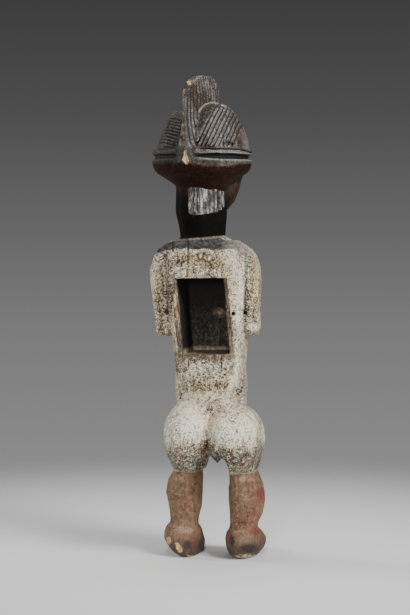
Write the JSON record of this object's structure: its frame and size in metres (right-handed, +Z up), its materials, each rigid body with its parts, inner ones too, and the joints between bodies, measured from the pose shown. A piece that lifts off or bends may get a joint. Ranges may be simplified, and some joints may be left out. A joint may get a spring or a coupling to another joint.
{
  "type": "reliquary ancestor figure",
  "caption": "Standing carved wooden figure with a crested hairdress, arms held close to a column of a torso, an open rectangular compartment in its back, and short legs.",
  "frame": {"origin": "centre of the bounding box, on the surface that the soles stand on", "axes": "+Z up along the figure, -Y the way it faces, +Y out of the compartment in its back, +X to its left"},
  "size_m": [0.1928, 0.1922, 0.8],
  "materials": {
    "painted_wood": "old carved hardwood, worn white kaolin on the body, red-brown pigment on the legs, black on hair and neck, dry and matt"
  },
  "bodies": {
    "root": {"carved_figure": "painted_wood"}
  },
  "joints": []
}
